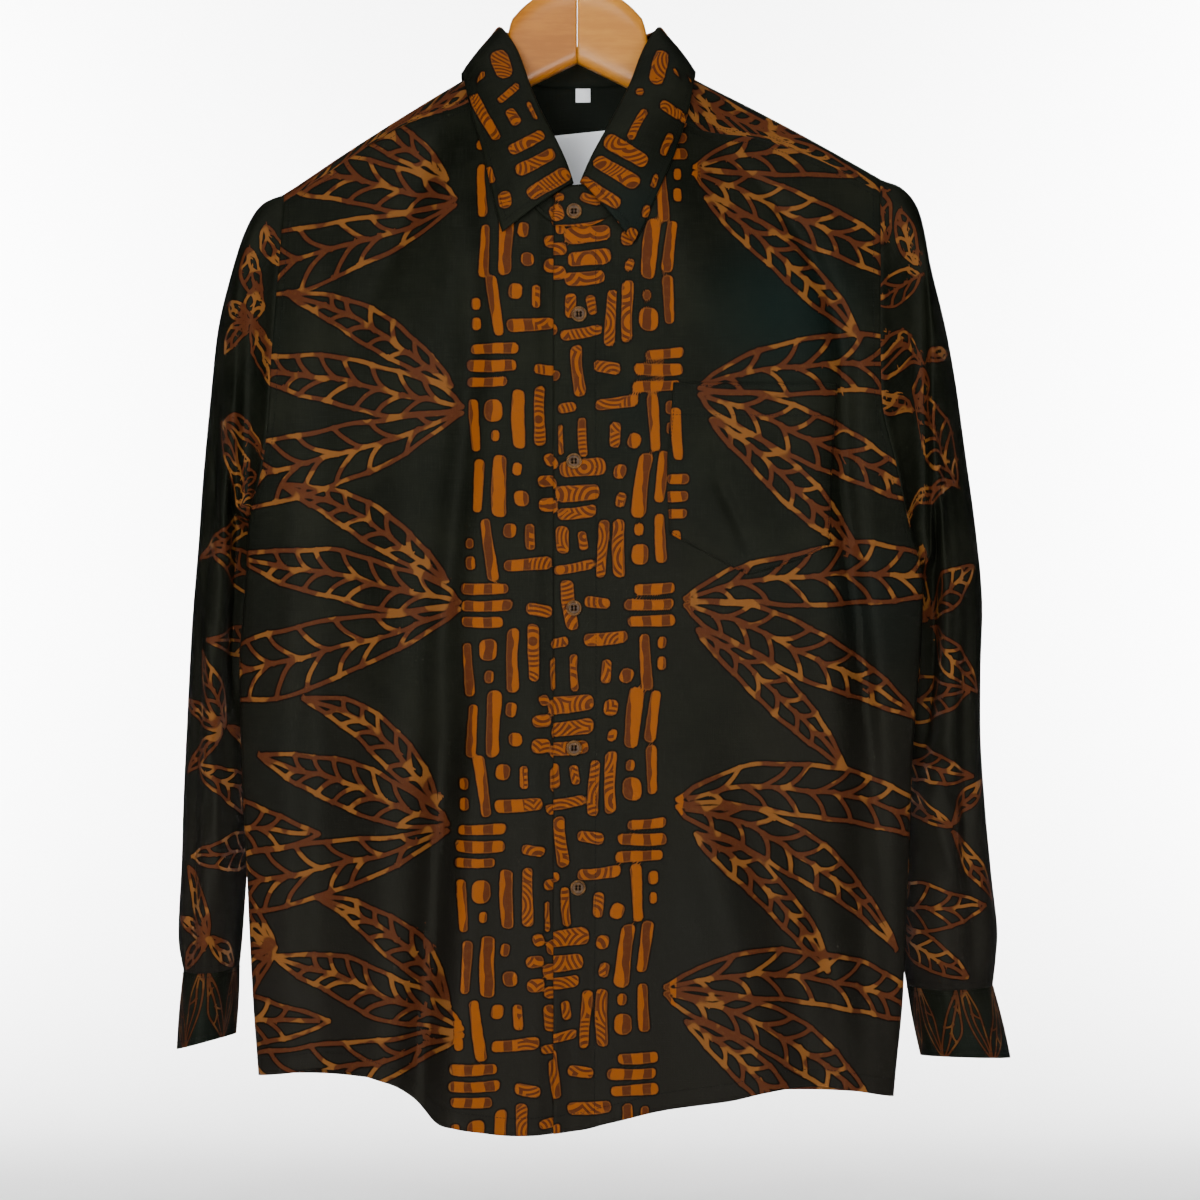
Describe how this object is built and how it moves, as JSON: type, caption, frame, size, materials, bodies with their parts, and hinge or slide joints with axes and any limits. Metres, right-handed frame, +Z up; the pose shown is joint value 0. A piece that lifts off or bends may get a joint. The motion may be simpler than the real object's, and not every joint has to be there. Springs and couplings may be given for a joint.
{
  "type": "batik shirt on hanger",
  "caption": "Long-sleeved buttoned batik shirt in near-black with orange and brown leaves and bars, hung on a varnished wooden hanger with a steel hook",
  "frame": {"origin": "inside top of the hanger hook, where it rests on a rail", "axes": "+Z up along the hanging shirt, -Y the buttoned front, +X the wearer's left"},
  "size_m": [0.6417, 0.1657, 0.9272],
  "materials": {
    "batik": "printed plain-weave cotton with a slight sheen",
    "label": "plain woven tape, bare",
    "button": "polished horn-look resin",
    "hanger_wood": "clear varnish",
    "hook_wire": "bright plated wire"
  },
  "bodies": {
    "root": {"front_right": "batik", "front_left": "batik", "back": "batik", "yoke": "batik", "collar_stand": "batik", "collar_fall": "batik", "sleeve_right": "batik", "sleeve_left": "batik", "cuff_right": "batik", "cuff_left": "batik", "pocket": "batik", "neck_label": "label", "size_tab": "label", "button_1": "button", "button_2": "button", "button_3": "button", "button_4": "button", "button_5": "button", "button_6": "button", "cuff_button_right": "button", "cuff_button_left": "button", "hanger_arm_right": "hanger_wood", "hanger_arm_left": "hanger_wood", "hanger_hook": "hook_wire"}
  },
  "joints": []
}
